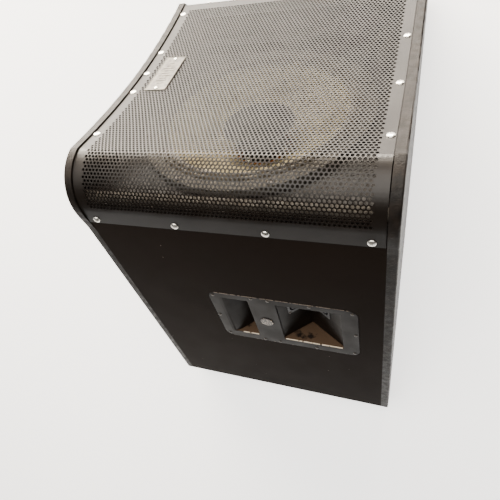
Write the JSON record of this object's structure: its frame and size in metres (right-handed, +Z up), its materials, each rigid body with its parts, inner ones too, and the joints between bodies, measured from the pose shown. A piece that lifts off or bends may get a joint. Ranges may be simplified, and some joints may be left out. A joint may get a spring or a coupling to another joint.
{
  "type": "stage monitor wedge",
  "caption": "Wedge-shaped floor loudspeaker: perforated steel grille wrapped over a rounded nose, rear panel with a recessed handle and connector plate.",
  "frame": {"origin": "middle of the footprint, on the floor under the rubber feet", "axes": "+Z up, +X across the cabinet, -Y towards the performer (the toe, where the grille slopes down), +Y towards the audience (rear panel with the handle)"},
  "size_m": [0.5, 0.8543, 0.4417],
  "materials": {
    "painted_ply": "sprayed textured black coating over birch plywood",
    "bare_ply": "bare birch plywood inside the box",
    "grille_steel": "satin black powder coat on perforated steel",
    "bright_screw": "zinc plated, bright",
    "dark_screw": "black oxide",
    "badge_metal": "embossed satin aluminium",
    "plate_plastic": "moulded black plastic with a fine grain",
    "emblem_plastic": null,
    "gasket_foam": "closed cell foam",
    "socket_plastic": "black glass filled nylon",
    "foot_rubber": "black rubber",
    "felt": "grey acoustic felt",
    "cast_frame": "die cast, black epoxy",
    "surround_cloth": "doped cloth half roll",
    "cone_fibre": "woven aramid fibre, yellowish",
    "spider_cloth": "phenolic treated cloth",
    "former_film": "polyimide film former",
    "copper": "enamelled copper winding",
    "plated_steel": "zinc passivated steel",
    "ferrite": "sintered ferrite",
    "horn_plastic": "moulded black horn",
    "titanium_foil": "thin titanium foil",
    "board_laminate": "glass epoxy board",
    "can_plastic": "film capacitor sleeve",
    "resistor_ceramic": "white cement resistor"
  },
  "bodies": {
    "cabinet": {"left_cheek": "painted_ply", "right_cheek": "painted_ply", "rear_panel": "painted_ply", "heel_panel": "painted_ply", "floor_panel": "painted_ply", "toe_panel": "painted_ply", "baffle": "painted_ply", "nose_rail": "bare_ply", "grille_battens": "bare_ply", "port_shelf": "bare_ply", "port_divider": "bare_ply", "brace": "bare_ply", "glue_blocks": "bare_ply", "lining": "felt", "grille": "grille_steel", "grille_screws": "bright_screw", "badge": "badge_metal", "badge_rivets": "bright_screw", "handle_plate": "plate_plastic", "plate_gasket": "gasket_foam", "plate_screws": "dark_screw", "emblem": "emblem_plastic", "socket_in": "socket_plastic", "socket_link": "socket_plastic", "socket_screws": "dark_screw", "rubber_feet": "foot_rubber", "foot_screws": "bright_screw", "driver_frame": "cast_frame", "surround": "surround_cloth", "gasket_ring": "gasket_foam", "frame_screws": "dark_screw", "spider": "spider_cloth", "top_plate": "plated_steel", "magnet": "ferrite", "back_plate": "plated_steel", "hf_horn": "horn_plastic", "hf_yoke": "plated_steel", "hf_magnet": "ferrite", "hf_top_plate": "plated_steel", "hf_mount_ring": "horn_plastic", "hf_suspension": "titanium_foil", "hf_back_cap": "horn_plastic", "driver_terminals": "socket_plastic", "crossover_board": "board_laminate", "board_spacers": "horn_plastic", "board_screws": "bright_screw", "inductors": "copper", "capacitors": "can_plastic", "resistors": "resistor_ceramic"},
    "cone_assembly": {"cone": "cone_fibre", "coil_former": "former_film", "voice_coil": "copper"},
    "hf_dome": {"hf_diaphragm": "titanium_foil"}
  },
  "joints": [
    {"name": "cone_slide", "type": "slide", "parent": "cabinet", "child": "cone_assembly", "axis": [0, -0.7815, 0.6239], "range_m": [-0.006, 0.006], "stiffness_N_per_m": 6000, "deforming": ["surround", "spider"]},
    {"name": "hf_dome_slide", "type": "slide", "parent": "cabinet", "child": "hf_dome", "axis": [0, -0.7815, 0.6239], "range_m": [-0.0004, 0.0004], "stiffness_N_per_m": 9000, "deforming": ["hf_suspension"]}
  ]
}
